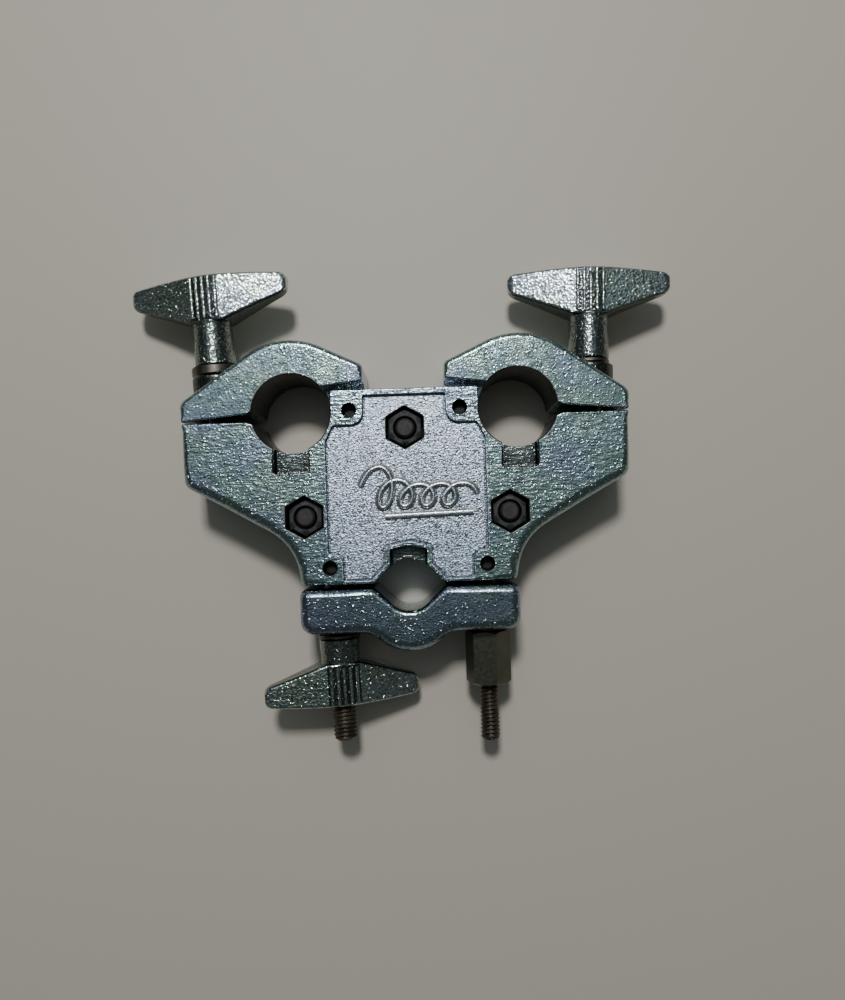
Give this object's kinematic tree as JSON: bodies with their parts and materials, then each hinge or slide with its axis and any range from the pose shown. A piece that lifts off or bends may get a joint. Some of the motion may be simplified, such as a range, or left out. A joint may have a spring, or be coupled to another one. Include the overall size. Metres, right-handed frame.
{
  "type": "three-way tube clamp",
  "caption": "Cast clamp adapter that joins two tubes and a thin rod side by side, with hinged jaws, swing bolts and wing nuts.",
  "frame": {"origin": "on the flat back face, on the body's centre line, midway between the bores", "axes": "+Z along the three bores, out of the front face; +Y from the rod bore towards the two tube bores; +X to the right seen from the front"},
  "size_m": [0.1397, 0.1209, 0.021],
  "materials": {
    "cast_plating": "plated zinc die casting, fine cast texture",
    "wing_plating": "plated zinc die casting, brushed faces",
    "dark_steel": "dark oxide",
    "bolt_steel": "aged steel thread",
    "washer_steel": "dull zinc",
    "long_nut_steel": "dull dark plating"
  },
  "bodies": {
    "root": {"front_casting": "cast_plating", "rear_casting": "cast_plating", "left_jaw_pin": "dark_steel", "right_jaw_pin": "dark_steel", "lower_left_pin": "dark_steel", "lower_right_pin": "dark_steel", "left_bolt_pin": "dark_steel", "right_bolt_pin": "dark_steel", "body_screw_top": "dark_steel", "body_screw_left": "dark_steel", "body_screw_right": "dark_steel", "body_nut_top": "dark_steel", "body_nut_left": "dark_steel", "body_nut_right": "dark_steel"},
    "left_jaw": {"left_jaw": "cast_plating"},
    "left_bolt": {"left_swing_bolt": "bolt_steel"},
    "left_washer": {"left_washer": "washer_steel"},
    "left_wing": {"left_wing_nut": "wing_plating"},
    "right_jaw": {"right_jaw": "cast_plating"},
    "right_bolt": {"right_swing_bolt": "bolt_steel"},
    "right_washer": {"right_washer": "washer_steel"},
    "right_wing": {"right_wing_nut": "wing_plating"},
    "lower_bolt": {"lower_swing_bolt": "bolt_steel"},
    "lower_washer": {"lower_washer": "washer_steel"},
    "lower_wing": {"lower_wing_nut": "wing_plating"},
    "lower_jaw": {"lower_jaw": "cast_plating", "adjuster_bolt": "bolt_steel"},
    "adjuster_washer": {"adjuster_washer": "washer_steel"},
    "adjuster_nut": {"adjuster_nut": "long_nut_steel"}
  },
  "joints": [
    {"name": "left_wing_spin", "type": "hinge", "parent": "left_washer", "child": "left_wing", "pos_m": [-0.047, 0.011, 0.0105], "axis": [-0.061, 0.9981, 0], "range_deg": [0, 1800]},
    {"name": "left_bolt_swing", "type": "hinge", "parent": "root", "child": "left_bolt", "pos_m": [-0.047, 0.011, 0.0105], "axis": [0, 0, 1], "range_deg": [0, 84]},
    {"name": "left_washer_lift", "type": "slide", "parent": "left_bolt", "child": "left_washer", "axis": [-0.061, 0.9981, 0], "range_m": [0, 0.00501]},
    {"name": "left_jaw_hinge", "type": "hinge", "parent": "root", "child": "left_jaw", "pos_m": [-0.01365, 0.0225, 0.0105], "axis": [0, 0, -1], "range_deg": [0, 6.84]},
    {"name": "right_wing_spin", "type": "hinge", "parent": "right_washer", "child": "right_wing", "pos_m": [0.047, 0.011, 0.0105], "axis": [0.0262, 0.9997, 0], "range_deg": [0, 1800]},
    {"name": "right_bolt_swing", "type": "hinge", "parent": "root", "child": "right_bolt", "pos_m": [0.047, 0.011, 0.0105], "axis": [0, 0, -1], "range_deg": [0, 86]},
    {"name": "right_washer_lift", "type": "slide", "parent": "right_bolt", "child": "right_washer", "axis": [0.0262, 0.9997, 0], "range_m": [0, 0.00501]},
    {"name": "right_jaw_hinge", "type": "hinge", "parent": "root", "child": "right_jaw", "pos_m": [0.01365, 0.0225, 0.0105], "axis": [0, 0, 1], "range_deg": [0, 6.84]},
    {"name": "lower_wing_spin", "type": "hinge", "parent": "lower_washer", "child": "lower_wing", "pos_m": [-0.0193, -0.01615, 0.0105], "axis": [0.0349, -0.9994, 0], "range_deg": [0, 1440]},
    {"name": "lower_bolt_swing", "type": "hinge", "parent": "root", "child": "lower_bolt", "pos_m": [-0.0193, -0.01615, 0.0105], "axis": [0, 0, -1], "range_deg": [0, 88]},
    {"name": "lower_washer_drop", "type": "slide", "parent": "lower_bolt", "child": "lower_washer", "axis": [0.0349, -0.9994, 0], "range_m": [0, 0.00401]},
    {"name": "lower_jaw_hinge", "type": "hinge", "parent": "root", "child": "lower_jaw", "pos_m": [0.0193, -0.01615, 0.0105], "axis": [0, 0, 1], "range_deg": [0, 5.05]},
    {"name": "adjuster_spin", "type": "hinge", "parent": "adjuster_washer", "child": "adjuster_nut", "pos_m": [0.0193, -0.01615, 0.0105], "axis": [0, -1, 0], "range_deg": [0, 2160]},
    {"name": "adjuster_washer_drop", "type": "slide", "parent": "lower_jaw", "child": "adjuster_washer", "axis": [0, -1, 0], "range_m": [0, 0.00601]}
  ],
  "couplings": [
    {"joint": "left_washer_lift", "follows": "left_wing_spin", "m_per_rad": 0.00015915},
    {"joint": "left_jaw_hinge", "follows": "left_wing_spin", "ratio": 0.0038},
    {"joint": "right_washer_lift", "follows": "right_wing_spin", "m_per_rad": 0.00015915},
    {"joint": "right_jaw_hinge", "follows": "right_wing_spin", "ratio": 0.0038},
    {"joint": "lower_washer_drop", "follows": "lower_wing_spin", "m_per_rad": 0.00015915},
    {"joint": "lower_jaw_hinge", "follows": "lower_wing_spin", "ratio": 0.0035},
    {"joint": "adjuster_washer_drop", "follows": "adjuster_spin", "m_per_rad": 0.00015915}
  ]
}
